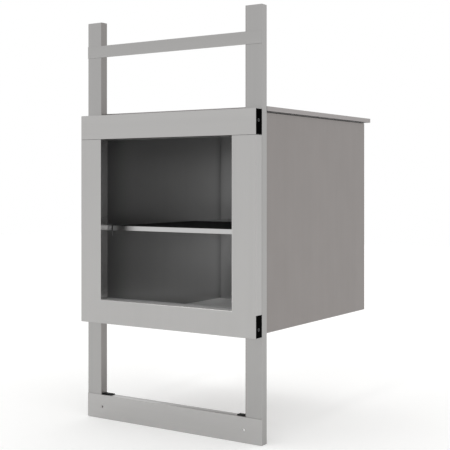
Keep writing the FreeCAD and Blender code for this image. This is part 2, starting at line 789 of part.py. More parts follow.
def make_roller_unit(level, name, side):
    """A forked bracket with its roller; returns the axle and the two bolts."""
    z = f"{level}_roller_z"
    label = f"{level}_{name}"
    base = box(
        f"bracket_base_{label}", across(side, "cheek_x", "bracket_end_x"),
        ("bracket_front", "sill_back"), (f"{z} - bracket_height / 2", f"{z} + bracket_height / 2"),
    )
    cheeks = [
        box(
            f"bracket_cheek_{label}_{edge}", across(side, near, f"{near} + bracket_sheet"),
            ("roller_y - cheek_nose", "bracket_front"),
            (f"{z} - cheek_height / 2", f"{z} + cheek_height / 2"),
        )
        for edge, near in (("inner", "cheek_x"), ("outer", "bracket_end_x - bracket_sheet"))
    ]
    axle_span = (side, "cheek_x", "bracket_end_x", "roller_y", z, "roller_axle_dia / 2")
    holes = [cross_rod(f"bracket_axle_hole_{label}", *axle_span)]
    for number, bolt_z in enumerate(bolt_heights(level)):
        holes.append(bolt_hole(f"bracket_hole_{label}_{number}", side, bolt_z))
    fork = fuse(f"bracket_fork_{label}", [base, *cheeks])
    node(cut(f"roller_bracket_{label}", fork, *holes))

    roller_span = (side, "roller_x", "roller_end_x", "roller_y", z)
    tyre = cross_rod(f"roller_blank_{label}", *roller_span, "roller_radius")
    bore = cross_rod(f"roller_bore_{label}", *roller_span, "roller_axle_dia / 2 + roller_fit")
    node(cut(f"guide_roller_{label}", tyre, bore))
    axle = cross_rod(f"roller_axle_{label}", *axle_span)
    bolts = [
        make_bracket_bolt(f"bracket_bolt_{label}_{number}", side, bolt_z)
        for number, bolt_z in enumerate(bolt_heights(level))
    ]
    return axle, bolts


def make_bracket_bolt(name, side, z):
    x = f"{side} * bracket_x"
    head = rod(
        f"{name}_head", Y_AXIS, (x, "bracket_front - bracket_bolt_head_height", z),
        "bracket_bolt_head_height", "bracket_bolt_head_dia / 2",
    )
    shank = rod(
        f"{name}_shank", Y_AXIS, (x, "bracket_front", z),
        "guide_back - bracket_front + bracket_bolt_reach", "bracket_bolt_dia / 2",
    )
    return fuse(name, [head, shank])


def make_belt_clamp(name, side):
    """A block on the guide plate that holds the belt's rear run."""
    block = box(
        f"{name}_block", across(
            side, "belt_x - belt_run_gap - clamp_wall", "belt_end_x + belt_run_gap + clamp_wall"),
        ("drive_y + belt_inner - belt_run_gap - clamp_wall", "sill_back"),
        ("clamp_bottom", "clamp_top"),
    )
    slot = box(
        f"{name}_slot", across(side, "belt_x - belt_run_gap", "belt_end_x + belt_run_gap"),
        ("drive_y + belt_inner - belt_run_gap", "drive_y + belt_outer + belt_run_gap"),
        ("clamp_bottom", "clamp_top"),
    )
    node(cut(name, block, slot))


axles = []
bolts = []
for level in ("upper", "lower"):
    for name, side in SIDES.items():
        unit_axle, unit_bolts = make_roller_unit(level, name, side)
        axles.append(unit_axle)
        bolts.extend(unit_bolts)
group("roller_axles", axles)
group("bracket_bolts", bolts)
for name, side in SIDES.items():
    make_belt_clamp(f"belt_clamp_{name}", side)


# --- Shelf -----------------------------------------------------------------------------

def make_runner(name, side):
    """An angle on the liner's wall that carries one side of the shelf."""
    length = ("shelf_front", "shelf_rear")
    leg = box(
        f"{name}_leg", across(side, "liner_inner - runner_sheet", "liner_inner"),
        length, ("runner_top - runner_width", "runner_top"),
    )
    seat = box(
        f"{name}_seat", across(side, "liner_inner - runner_width", "liner_inner - runner_sheet"),
        length, ("runner_top - runner_sheet", "runner_top"),
    )
    node(fuse(name, [leg, seat]))


def make_shelf_tray():
    """A tray folded down all round, set down by the mat's thickness in front of its margin."""
    inner_width = ("-(shelf_half - shelf_sheet)", "shelf_half - shelf_sheet")
    inner_front = "shelf_front + shelf_sheet"
    inner_rear = "shelf_rear - shelf_sheet"
    recess_rear = "mat_rear + mat_gap"
    blank = box(
        "tray_blank", ("-shelf_half", "shelf_half"),
        ("shelf_front", "shelf_rear"), ("shelf_bottom", "shelf_top"),
    )
    recess = box(
        "tray_recess", inner_width, (inner_front, recess_rear), ("mat_bottom", "shelf_top"),
    )
    hollow = box(
        "tray_hollow", inner_width, (inner_front, inner_rear), ("shelf_bottom", "tray_plate"),
    )
    margin_hollow = box(
        "tray_margin_hollow", inner_width,
        (f"{recess_rear} + shelf_sheet", inner_rear), ("tray_plate", "shelf_top - shelf_sheet"),
    )
    node(cut("shelf_tray", blank, recess, hollow, margin_hollow))


for name, side in SIDES.items():
    make_runner(f"shelf_runner_{name}", side)
make_shelf_tray()
node(box(
    "shelf_mat",
    ("-(shelf_half - shelf_sheet - mat_gap)", "shelf_half - shelf_sheet - mat_gap"),
    ("shelf_front + shelf_sheet + mat_gap", "mat_rear"),
    ("mat_bottom", "shelf_top"),
))


# --- Check and write -------------------------------------------------------------------

doc.recompute()
for item in doc.Objects:
    if {"Invalid", "Error"} & set(item.State):
        raise RuntimeError(f"{item.Name} failed: {item.State}")
for piece in NODES:
    if piece.Shape.isNull() or not piece.Shape.isValid() or not piece.Shape.Solids:
        raise RuntimeError(f"{piece.Label} has no valid solid")

os.makedirs("parts", exist_ok=True)
for piece in NODES:
    piece.Shape.exportStep(f"parts/{piece.Label}.step")
print(f"{len(NODES)} pieces written")
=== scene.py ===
import math

import bmesh
import bpy
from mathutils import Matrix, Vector


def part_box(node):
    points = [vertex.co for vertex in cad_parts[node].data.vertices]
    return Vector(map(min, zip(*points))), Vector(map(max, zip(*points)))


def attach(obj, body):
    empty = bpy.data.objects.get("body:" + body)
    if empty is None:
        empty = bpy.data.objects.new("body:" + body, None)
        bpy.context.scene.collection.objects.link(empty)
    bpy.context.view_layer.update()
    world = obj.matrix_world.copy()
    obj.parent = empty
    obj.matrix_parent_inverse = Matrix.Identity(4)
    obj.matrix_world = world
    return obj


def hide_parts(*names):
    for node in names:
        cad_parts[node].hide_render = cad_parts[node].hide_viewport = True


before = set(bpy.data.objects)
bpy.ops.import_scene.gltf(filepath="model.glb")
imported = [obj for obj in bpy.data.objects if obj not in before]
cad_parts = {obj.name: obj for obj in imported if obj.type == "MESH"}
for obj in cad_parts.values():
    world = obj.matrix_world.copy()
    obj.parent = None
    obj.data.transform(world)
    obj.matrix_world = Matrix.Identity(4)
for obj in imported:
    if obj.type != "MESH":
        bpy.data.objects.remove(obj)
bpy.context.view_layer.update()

# --- Guide posts -----------------------------------------------------------------------
# Two channels folded from 2 mm stainless sheet, open to the rear. Their faces and outer
# sides are satin-brushed lengthwise; the inner flange, where the car runs, is painted darker
# as painted shade on that side. Both are welded to the crossbars.

MM = 0.001
SIDES = {"left": -1, "right": 1}
FRAME_LIGHT, FRAME_DARK, FRAME_ROUGHNESS = "#acabaa", "#a2a1a0", 0.36
FRAME_EDGE_MM = 0.8
# The inner flanges' painted shade: its tone, and how far from the middle plane, in mm, it
# reaches.
INNER_FLANGE_SHADE = ("#8e8b89", 292.5)


def linear(hex_colour):
    """An sRGB hex colour as Blender's linear red, green, blue and alpha."""
    parts = [int(hex_colour[i:i + 2], 16) / 255 for i in (1, 3, 5)]
    return (*[c / 12.92 if c <= 0.04045 else ((c + 0.055) / 1.055) ** 2.4 for c in parts], 1)


def add(material, kind, settings={}, inputs={}):
    """Add one node; each input is a plain value or another node's output."""
    node = material.node_tree.nodes.new(kind)
    for name, value in settings.items():
        setattr(node, name, value)
    for name, value in inputs.items():
        if isinstance(value, bpy.types.NodeSocket):
            material.node_tree.links.new(value, node.inputs[name])
        else:
            node.inputs[name].default_value = value
    return node


def start_finish(name):
    """A new material with nothing in it but its output."""
    material = bpy.data.materials.new(name)
    material.use_nodes = True
    material.node_tree.nodes.clear()
    add(material, "ShaderNodeOutputMaterial")
    return material


def surface(material, inputs):
    """End a material in one shader with these inputs."""
    shader = add(material, "ShaderNodeBsdfPrincipled", {}, inputs)
    output = material.node_tree.nodes["Material Output"]
    material.node_tree.links.new(shader.outputs[0], output.inputs["Surface"])
    return material


def streaks(material, lines, width_mm, length_mm, detail=2.0):
    """Noise drawn out along one axis, in real millimetres across and along the lines."""
    place = add(material, "ShaderNodeTexCoord")
    scale = [1 / (width_mm * MM)] * 3
    scale["XYZ".index(lines)] = 1 / (length_mm * MM)
    drawn = add(material, "ShaderNodeMapping", {},
                {"Vector": place.outputs["Object"], "Scale": scale})
    noise = add(material, "ShaderNodeTexNoise", {},
                {"Vector": drawn.outputs[0], "Scale": 1.0, "Detail": detail})
    return noise.outputs["Fac"]


def within(material, axis, limit_mm):
    """1 where the distance from the middle plane along one axis is under a limit, else 0."""
    place = add(material, "ShaderNodeTexCoord")
    split = add(material, "ShaderNodeSeparateXYZ", {}, {0: place.outputs["Object"]})
    away = add(material, "ShaderNodeMath", {"operation": "ABSOLUTE"}, {0: split.outputs[axis]})
    return add(material, "ShaderNodeMath", {"operation": "LESS_THAN"},
               {0: away.outputs[0], 1: limit_mm * MM}).outputs[0]


def brushed_stainless(name, light, dark, roughness, lines, metal=1.0, dull=None):
    """Satin stainless sheet: grit lines along one axis, soft rolling bands, a blurred gloss.

    dull is a painted shade: a tone, and the distance from the middle plane within which it holds."""
    material = start_finish(name)
    # Grit lines are really 0.1 to 0.2 mm wide; they are drawn 1.5 mm wide so that they show.
    grit = streaks(material, lines, width_mm=1.5, length_mm=220)
    bands = streaks(material, lines, width_mm=34, length_mm=1400, detail=1.0)
    # Cleaning and handling leave cloudy patches about 90 mm across.
    clouds = streaks(material, lines, width_mm=90, length_mm=130, detail=3.0)
    fine = add(material, "ShaderNodeMath", {"operation": "MULTIPLY"}, {0: grit, 1: 0.45})
    tone = add(material, "ShaderNodeMath", {"operation": "MULTIPLY_ADD"},
               {0: bands, 1: 0.55, 2: fine.outputs[0]})
    colour = add(material, "ShaderNodeMix", {"data_type": "RGBA"},
                 {0: tone.outputs[0], 6: linear(dark), 7: linear(light)}).outputs[2]
    # Where asked, a painted shade darkens the sheet near the middle plane.
    if dull:
        shade_tone, limit_mm = dull
        colour = add(material, "ShaderNodeMix", {"data_type": "RGBA"}, {
            0: within(material, "X", limit_mm), 6: colour, 7: linear(shade_tone)}).outputs[2]
    gloss = add(material, "ShaderNodeMapRange", {},
                {"Value": clouds, "From Min": 0.3, "From Max": 0.7,
                 "To Min": roughness * 0.95, "To Max": roughness * 1.05})
    relief = add(material, "ShaderNodeBump", {},
                 {"Height": grit, "Strength": 0.12, "Distance": 0.03 * MM})
    across = add(material, "ShaderNodeTangent", {"direction_type": "RADIAL", "axis": "Z"})
    return surface(material, {
        "Base Color": colour, "Metallic": metal, "Roughness": gloss.outputs[0],
        "Anisotropic": 0.45, "Anisotropic Rotation": 0.0 if lines == "Z" else 0.25,
        "Tangent": across.outputs[0], "Normal": relief.outputs[0],
    })


def bevel(piece, width_mm):
    """Break a piece's sharp edges by this much."""
    edge = piece.modifiers.new("edge", "BEVEL")
    edge.width = width_mm * MM
    edge.segments = 2
    edge.limit_method = "ANGLE"
    edge.angle_limit = math.radians(40)
    return edge


def dress(name, material, edge_mm=0.0):
    """Give a frame node its finish, and break its edges by this much."""
    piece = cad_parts[name]
    for slot in piece.material_slots:
        slot.material = material
    if edge_mm:
        weld = piece.modifiers.new("weld", "WELD")
        weld.merge_threshold = 0.002 * MM
        flats = piece.modifiers.new("flats", "DECIMATE")
        flats.decimate_type = "DISSOLVE"
        flats.angle_limit = math.radians(0.5)
        bevel(piece, edge_mm).use_clamp_overlap = False
        shading = piece.modifiers.new("shading", "WEIGHTED_NORMAL")
        shading.weight = 100


# Even, soft grey with upright lines that only show close by, and painted shade on the inner
# flanges.
post_steel = brushed_stainless("brushed_stainless_post", FRAME_LIGHT, FRAME_DARK,
                               FRAME_ROUGHNESS, "Z", dull=INNER_FLANGE_SHADE)
for side in SIDES:
    dress(f"post_{side}", post_steel, FRAME_EDGE_MM)

# --- Crossbars -------------------------------------------------------------------------
# Folded from the same sheet and lapped over the posts' faces. The lower one stands on the
# floor and has two deburred holes for the screws into the wall.

# The same soft grey, with its lines level.
crossbar_steel = brushed_stainless(
    "brushed_stainless_crossbar", FRAME_LIGHT, FRAME_DARK, FRAME_ROUGHNESS, "X")
dress("top_crossbar", crossbar_steel, FRAME_EDGE_MM)
# The lower bar is painted lighter than the upper one, as painted light; its edges are only
# deburred.
lower_bar_painted_light_steel = brushed_stainless(
    "brushed_stainless_lower_bar", "#b9b8b7", "#afaead", FRAME_ROUGHNESS, "X")
dress("bottom_crossbar", lower_bar_painted_light_steel)

# --- Buffers ---------------------------------------------------------------------------
# Flat EPDM rubber pads bonded to the lower crossbar beside the posts, to soften the car's
# landing. Each has rounded shoulders and moulded ribs across its top.

# Half a groove's width between two ribs, at the top and at the foot.
GROOVE_TOP, GROOVE_FOOT = 1.2 * MM, 0.7 * MM


def vary(material, colour, noise, spread):
    """One colour that a noise makes darker and lighter by up to this share."""
    value = add(material, "ShaderNodeMapRange", {},
                {"Value": noise, "To Min": 1 - spread, "To Max": 1 + spread})
    return add(material, "ShaderNodeHueSaturation", {},
               {"Color": linear(colour), "Value": value.outputs[0]}).outputs[0]


def moulded(name, colour, roughness, grain_mm, shine=0.3):
    """A moulded plastic or rubber: one colour, a fine grain from the mould, little gloss.

    Handling leaves patches about 25 mm across that are slightly lighter and duller."""
    material = start_finish(name)
    place = add(material, "ShaderNodeTexCoord").outputs["Object"]
    grain = add(material, "ShaderNodeTexNoise", {},
                {"Vector": place, "Scale": 1 / (grain_mm * MM), "Detail": 3.0})
    patches = add(material, "ShaderNodeTexNoise", {},
                  {"Vector": place, "Scale": 1 / (25 * MM), "Detail": 2.0}).outputs[0]
    gloss = add(material, "ShaderNodeMapRange", {},
                {"Value": patches, "To Min": roughness - 0.08, "To Max": roughness + 0.08})
    relief = add(material, "ShaderNodeBump", {},
                 {"Height": grain.outputs[0], "Strength": 0.25, "Distance": 0.04 * MM})
    return surface(material, {
        "Base Color": vary(material, colour, patches, 0.1), "Roughness": gloss.outputs[0],
        "Specular IOR Level": shine, "Normal": relief.outputs[0],
    })


def piece_from(name, mesh, material, body, replaced):
    """Link a finished bmesh as one piece that rides on a body and stands for a frame node."""
    bmesh.ops.remove_doubles(mesh, verts=mesh.verts, dist=0.001 * MM)
    bmesh.ops.recalc_face_normals(mesh, faces=mesh.faces)
    data = bpy.data.meshes.new(name)
    mesh.to_mesh(data)
    mesh.free()
    data.materials.append(material)
    piece = bpy.data.objects.new(name, data)
    bpy.context.scene.collection.objects.link(piece)
    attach(piece, body)
    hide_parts(replaced)
    return piece


def ribbed_pad(low, high, ribs, groove_depth):
    """A pad whose top is cut by grooves across its depth, leaving ribs."""
    mesh = bmesh.new()
    step = (high.x - low.x) / ribs
    top = [(low.x, high.z)]
    for number in range(1, ribs):
        middle = low.x + number * step
        for offset, drop in ((-GROOVE_TOP, 0), (-GROOVE_FOOT, groove_depth),
                             (GROOVE_FOOT, groove_depth), (GROOVE_TOP, 0)):
            top.append((middle + offset, high.z - drop))
    top.append((high.x, high.z))
    profile = [(low.x, low.z), *top, (high.x, low.z)]
    near = [mesh.verts.new((x, low.y, z)) for x, z in profile]
    far = [mesh.verts.new((x, high.y, z)) for x, z in profile]
    mesh.faces.new(near)
    mesh.faces.new(far[::-1])
    for number in range(len(profile)):
        after = (number + 1) % len(profile)
        mesh.faces.new((near[number], far[number], far[after], near[after]))
    return mesh


# Nearly black and matt, so that only the ribs' edges catch light.
epdm = moulded("moulded_epdm_rubber", "#0c0c0c", roughness=0.62, grain_mm=0.8)
for side in SIDES:
    pad = ribbed_pad(*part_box(f"buffer_{side}"), ribs=5, groove_depth=0.9 * MM)
    buffer = piece_from(f"rubber_buffer_{side}", pad, epdm, "frame",
                        f"buffer_{side}")
    bevel(buffer, 0.5).harden_normals = True
    for face in buffer.data.polygons:
        face.use_smooth = True

# --- Cross shaft, bushes and idler axles -------------------------------------------------
# A bright drawn steel shaft turns in two sintered bronze bushes pressed into the posts.
# At the foot each idler turns on a turned steel axle with a socket head.


def turned_metal(name, colour, roughness, line_mm, axis="X"):
    """Metal from the lathe: fine rings round its axis and a clean gloss."""
    material = start_finish(name)
    rings = streaks(material, axis, width_mm=200, length_mm=line_mm)
    relief = add(material, "ShaderNodeBump", {},
                 {"Height": rings, "Strength": 0.2, "Distance": 0.02 * MM})
    return surface(material, {
        "Base Color": vary(material, colour, rings, 0.12), "Metallic": 1.0,
        "Roughness": roughness, "Normal": relief.outputs[0],
    })


def hexagon(across_flats):
    """The distance from the middle to a hexagon's edge, by angle."""
    def reach(angle):
        return across_flats / 2 / math.cos(angle % (math.pi / 3) - math.pi / 6)
    return reach


def turn(mesh, centre, axis, stations, segments=36):
    """Add a closed turned solid. Each station is a distance along the axis and a radius,
    and the radius may be a function of the angle, as for a socket or teeth."""
    rings = []
    for along, radius in stations:
        ring = []
        for number in range(segments):
            angle = 2 * math.pi * number / segments
            reach = radius(angle) if callable(radius) else radius
            u, v = reach * math.cos(angle), reach * math.sin(angle)
            offset = (along, u, v) if axis == "X" else (u, along, v)
            ring.append(mesh.verts.new(Vector(centre) + Vector(offset)))
        rings.append(ring)
    for first, second in zip(rings, rings[1:]):
        for number in range(segments):
            after = (number + 1) % segments
            mesh.faces.new((first[number], first[after], second[after], second[number]))
    # A profile that comes back to its start has a bore; any other needs its two ends closed.
    if stations[0] != stations[-1]:
        mesh.faces.new(rings[0][::-1])
        mesh.faces.new(rings[-1])


def socket_screw(mesh, seat, axis, out, head_radius, head_height, shank_radius, shank_length,
                 key):
    """A socket-head screw. seat is the underside of its head, and out is +1 or -1, the way
    that the head points along the axis."""
    chamfer, socket_depth = 0.12 * head_radius, 0.62 * head_height
    tip_radius, tip_length = 0.8 * shank_radius, 0.3 * shank_radius
    stations = [
        (-shank_length, tip_radius), (-shank_length + tip_length, shank_radius),
        (0, shank_radius), (0, head_radius), (head_height - chamfer, head_radius),
        (head_height, head_radius - chamfer), (head_height, hexagon(key)),
        (head_height - socket_depth, hexagon(key)),
    ]
    turn(mesh, seat, axis, [(out * along, radius) for along, radius in stations])


# The shaft mirrors its surroundings in fine rings; the bushes are dull and brown.
bright_steel = turned_metal("bright_drawn_steel", "#b9babc", 0.2, 0.6)
bronze = turned_metal("sintered_bronze", "#8f6f3f", 0.42, 1.0)
dress("cross_shaft", bright_steel)
dress("shaft_bushes", bronze)

axle_heads = bmesh.new()
idler_low, idler_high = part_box("idler_pulley_right")
idler_y = (idler_low.y + idler_high.y) / 2
idler_z = (idler_low.z + idler_high.z) / 2
post_inner_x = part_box("post_right")[0].x
axle_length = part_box("idler_axles")[1].x - post_inner_x
for sign in SIDES.values():
    socket_screw(axle_heads, (sign * post_inner_x, idler_y, idler_z), "X", -sign,
                 head_radius=6 * MM, head_height=3 * MM, shank_radius=4 * MM,
                 shank_length=axle_length, key=5 * MM)
piece_from("idler_axle_screws", axle_heads, bright_steel, "frame", "idler_axles")

# --- Pulleys ---------------------------------------------------------------------------
# Flanged timing-belt pulleys turned from aluminium bar, with their teeth cut across the
# rim. The upper pair is keyed to the cross shaft and the lower pair runs free.

PULLEY_TEETH = 12
TOOTH_DEPTH = 0.7 * MM
FLANGE_HEIGHT, FLANGE_THICKNESS, FLANGE_EDGE = 2.5 * MM, 1.2 * MM, 0.4 * MM
PULLEY_BORES = {"drive": 6.0 * MM, "idler": 4.05 * MM}


def toothed(radius):
    """The rim's radius by angle, with flat-bottomed gaps between the teeth."""
    def reach(angle):
        on_tooth = (angle * PULLEY_TEETH / (2 * math.pi)) % 1 < 0.5
        return radius if on_tooth else radius - TOOTH_DEPTH
    return reach


def pulley_mesh(node, bore):
    """A toothed rim between two flanges, bored through."""
    low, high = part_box(node)
    centre = ((low.x + high.x) / 2, (low.y + high.y) / 2, (low.z + high.z) / 2)
    half = (high.x - low.x) / 2
    flange = (high.z - low.z) / 2
    rim = toothed(flange - FLANGE_HEIGHT)
    inner = half - FLANGE_THICKNESS
    stations = [
        (-half, bore), (-half, flange - FLANGE_EDGE), (-half + FLANGE_EDGE, flange),
        (-inner, flange), (-inner, rim), (inner, rim), (inner, flange),
        (half - FLANGE_EDGE, flange), (half, flange - FLANGE_EDGE), (half, bore), (-half, bore),
    ]
    mesh = bmesh.new()
    turn(mesh, centre, "X", stations, segments=PULLEY_TEETH * 6)
    return mesh


# Lighter and softer in its gloss than the steel shaft.
pulley_metal = turned_metal("turned_aluminium", "#c3c4c6", 0.3, 0.5)
for side in SIDES:
    for kind, body in (("drive", "drive_shaft"), ("idler", f"idler_{side}")):
        node = f"{kind}_pulley_{side}"
        piece_from(f"toothed_{kind}_pulley_{side}", pulley_mesh(node, PULLEY_BORES[kind]),
                   pulley_metal, body, node)

# --- Belts -----------------------------------------------------------------------------
# Endless rubber timing belts with moulded teeth on the inside, one in each post, running
# round the pulleys at the top and the foot.

TOOTH_PITCH = 5 * MM
BELT_BACKING, BELT_AT_TOOTH = 0.8 * MM, 1.5 * MM


def belt_mesh(node):
    """A closed belt along the two straight runs and the two half turns of its node."""
    low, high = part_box(node)
    radius = (high.y - low.y) / 2
    middle_y = (low.y + high.y) / 2
    foot, head = low.z + radius, high.z - radius
    run = head - foot
    half_turn = math.pi * radius
    length = 2 * run + 2 * half_turn
    steps = round(length / TOOTH_PITCH) * 4

    def at(distance):
        """The back's place and its outward direction at a distance along the belt."""
        if distance < run:
            return (middle_y - radius, foot + distance), (-1, 0)
        distance -= run
        if distance < half_turn:
            angle = math.pi - distance / radius
            out = (math.cos(angle), math.sin(angle))
            return (middle_y + radius * out[0], head + radius * out[1]), out
        distance -= half_turn
        if distance < run:
            return (middle_y + radius, head - distance), (1, 0)
        angle = -(distance - run) / radius
        out = (math.cos(angle), math.sin(angle))
        return (middle_y + radius * out[0], foot + radius * out[1]), out

    mesh = bmesh.new()
    rings = []
    for number in range(steps):
        (y, z), out = at(length * number / steps)
        depth = BELT_AT_TOOTH if number % 4 in (1, 2) else BELT_BACKING
        inside = (y - depth * out[0], z - depth * out[1])
        rings.append([mesh.verts.new(corner) for corner in (
            (low.x, y, z), (high.x, y, z), (high.x, *inside), (low.x, *inside))])
    for number, ring in enumerate(rings):
        after = rings[(number + 1) % steps]
        for corner in range(4):
            beside = (corner + 1) % 4
            mesh.faces.new((ring[corner], ring[beside], after[beside], after[corner]))
    return mesh


# Dark grey with a slight sheen, lighter than the buffers.
belt_rubber = moulded("neoprene_belt_rubber", "#1d1d1e", roughness=0.55, grain_mm=0.5)
for side in SIDES:
    piece_from(f"toothed_belt_{side}", belt_mesh(f"belt_{side}"),
               belt_rubber, "frame", f"belt_{side}")

# --- Surround --------------------------------------------------------------------------
# The car's face: two stiles and the bottom rail folded from one 1.5 mm stainless sheet,
# and a separate header rail over them. Beside the opening the returns are buffed bright by
# the trays that pass, so they mirror the shelf, and the lip below it is scuffed dull.

SURROUND_LIGHT, SURROUND_DARK, SURROUND_ROUGHNESS = "#b6b5b4", "#afaead", 0.4
SURROUND_EDGE_MM = 0.7
# The returns and the lip lie nearer the middle plane than this.
RETURN_LIMIT_MM = 264.6
# The lip reaches this far over and under the rail's top.
LIP_MM = 0.8
# Two finishes, each a roughness and how bare the metal is.
SCUFFED, BUFFED = (0.5, 0.4), (0.12, 0.84)
# How far the painted shade of the joint under the header reaches up it.
SEAM_SHADE_MM = 1.0


def above(material, axis, limit_mm):
    """1 where the place along one axis is over a limit, else 0."""
    place = add(material, "ShaderNodeTexCoord")
    split = add(material, "ShaderNodeSeparateXYZ", {}, {0: place.outputs["Object"]})
    return add(material, "ShaderNodeMath", {"operation": "GREATER_THAN"},
               {0: split.outputs[axis], 1: limit_mm * MM}).outputs[0]


def rework(material, masks, roughness, metal):
    """Change the finish where both masks are 1: its roughness, and how bare the metal is."""
    mask = add(material, "ShaderNodeMath", {"operation": "MULTIPLY"}, {0: masks[0], 1: masks[1]})
    shader = material.node_tree.nodes["Principled BSDF"]
    for socket, after in (("Roughness", roughness), ("Metallic", metal)):
        links = shader.inputs[socket].links
        before = links[0].from_socket if links else shader.inputs[socket].default_value
        mixed = add(material, "ShaderNodeMix", {"data_type": "FLOAT"},
                    {0: mask.outputs[0], 2: before, 3: after})
        material.node_tree.links.new(mixed.outputs[0], shader.inputs[socket])


def tint(material, share):
    """Darken a sheet's colour to a share of itself, which another node gives."""
    shader = material.node_tree.nodes["Principled BSDF"]
    sheet = shader.inputs["Base Color"].links[0].from_socket
    tone = add(material, "ShaderNodeMix", {"data_type": "RGBA", "blend_type": "MULTIPLY"},
               {0: 1.0, 6: sheet, 7: share})
    material.node_tree.links.new(tone.outputs[2], shader.inputs["Base Color"])


# A lighter, flatter grey than the frame's; the returns alone are bright.
stile_steel = brushed_stainless(
    "brushed_stainless_stile", SURROUND_LIGHT, SURROUND_DARK, SURROUND_ROUGHNESS, "Z")
rail_top_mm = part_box("sill")[1].z / MM
for level_mm, finish in ((rail_top_mm - LIP_MM, SCUFFED), (rail_top_mm + LIP_MM, BUFFED)):
    masks = (above(stile_steel, "Z", level_mm), within(stile_steel, "X", RETURN_LIMIT_MM))
    rework(stile_steel, masks, *finish)
# The header's lower edge is painted dark, as painted shade in its joint with the stiles, so the
# joint shows as a line.
header_steel = brushed_stainless(
    "brushed_stainless_header", SURROUND_LIGHT, SURROUND_DARK, SURROUND_ROUGHNESS, "X")
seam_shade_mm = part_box("header_rail")[0].z / MM + SEAM_SHADE_MM
tint(header_steel, add(header_steel, "ShaderNodeMapRange", {}, {
    "Value": above(header_steel, "Z", seam_shade_mm), "To Min": 0.3}).outputs[0])
dress("lower_frame", stile_steel, SURROUND_EDGE_MM)
dress("header_rail", header_steel, SURROUND_EDGE_MM)

# --- Slide shoes -----------------------------------------------------------------------
# Black polyamide blocks, one in each corner of the surround, that run on the posts'
# faces. Each is held from the side by one blackened cap screw sunk in a round recess.

RECESS_DEPTH = 5 * MM
# The piece that a pair of shoes sits in, and how high over its foot their screws are.
SHOE_RAILS = {"upper": ("header_rail", 45 * MM), "lower": ("lower_frame", 26 * MM)}

# The blocks are deep black with no shine; the screw's rings give one small grey glint.
polyamide = moulded("moulded_black_polyamide", "#020202", roughness=0.55, grain_mm=0.4,
                    shine=0.003)
cap_screw_steel = turned_metal("blackened_cap_screw_steel", "#4c4c4e", 0.3, 0.4)
shoe_screws = bmesh.new()
seat_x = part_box("post_right")[1].x - RECESS_DEPTH
for level, (rail, rise) in SHOE_RAILS.items():
    for side, sign in SIDES.items():
        dress(f"slide_shoe_{level}_{side}", polyamide, edge_mm=0.8)
        low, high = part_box(f"slide_shoe_{level}_{side}")
        seat = (sign * seat_x, (low.y + high.y) / 2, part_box(rail)[0].z + rise)
        socket_screw(shoe_screws, seat, "X", sign, head_radius=5.5 * MM, head_height=4 * MM,
                     shank_radius=3 * MM, shank_length=31 * MM, key=5 * MM)
piece_from("cap_screws", shoe_screws, cap_screw_steel, "car", "shoe_screws")

# --- Liner -----------------------------------------------------------------------------
# The inner box: brushed stainless panels, seam-welded along their edges, that reach
# forward between the posts to the surround. Two angles welded to its sides carry the
# shelf.

# The colours, roughness, line direction and bareness of the walls and the back.
LINER_FINISH = ("#b7b7b7", "#b1b1b1", 0.3, "Z", 0.95)


def paint_seam_shade(material, seam_x, seam_y, reach_mm, darkest):
    """Paint shade on the sheet, darker towards two upright seams, one each side."""
    place = add(material, "ShaderNodeTexCoord")
    split = add(material, "ShaderNodeSeparateXYZ", {}, {0: place.outputs["Object"]})
    side = add(material, "ShaderNodeMath", {"operation": "ABSOLUTE"}, {0: split.outputs["X"]})
    flat = add(material, "ShaderNodeCombineXYZ", {},
               {"X": side.outputs[0], "Y": split.outputs["Y"]})
    away = add(material, "ShaderNodeVectorMath", {"operation": "DISTANCE"},
               {0: flat.outputs[0], 1: (seam_x, seam_y, 0)})
    tint(material, add(material, "ShaderNodeMapRange", {"interpolation_type": "SMOOTHSTEP"}, {
        "Value": away.outputs["Value"], "From Max": reach_mm * MM, "To Min": darkest}).outputs[0])


# The panels give back a soft blurred image of what stands on the shelf; painted shade
# darkens them towards the seams in the back corners and towards the front.
liner_wall_steel = brushed_stainless("brushed_stainless_liner_wall", *LINER_FINISH)
liner_back_steel = brushed_stainless("brushed_stainless_liner_back", *LINER_FINISH)
wall_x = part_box("liner_back_wall")[1].x
back_seam_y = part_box("liner_back_wall")[0].y
front_seam_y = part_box("liner_right")[0].y
# Painted shade: the walls darken into the back corners and, further, towards the front.
paint_seam_shade(liner_wall_steel, wall_x, back_seam_y, reach_mm=42, darkest=0.78)
paint_seam_shade(liner_wall_steel, wall_x, front_seam_y, reach_mm=170, darkest=0.52)
paint_seam_shade(liner_back_steel, wall_x, back_seam_y, reach_mm=9, darkest=0.7)
# The floor, sill and lintel are one worn matt finish without reflections, in two painted
# tones: near white on the floor as painted light, darker on the sill and lintel as painted shade.
floor_painted_light_steel = brushed_stainless("worn_matte_stainless_painted_light", "#efefee", "#e8e8e7", 0.5, "X", metal=0.08)
sill_painted_shade_steel = brushed_stainless("matte_stainless_painted_shade", "#919191", "#8b8b8b", 0.5, "X", metal=0.08)
for name in ("liner_left", "liner_right", "cabin_ceiling"):
    dress(name, liner_wall_steel)
dress("liner_back_wall", liner_back_steel)
dress("cabin_floor", floor_painted_light_steel)
for name in ("sill", "lintel"):
    dress(name, sill_painted_shade_steel, edge_mm=0.5)
for side in SIDES:
    dress(f"shelf_runner_{side}", liner_wall_steel, edge_mm=0.4)

# --- Case ------------------------------------------------------------------------------
# The outer skin: dull cold-rolled stainless sheet, closed at the rear by a screwed panel.
# A sheet-covered board of film-faced plywood lies over it with a shadow gap round the
# case's sides.

REAR_HEAD_RADIUS = 4.5 * MM

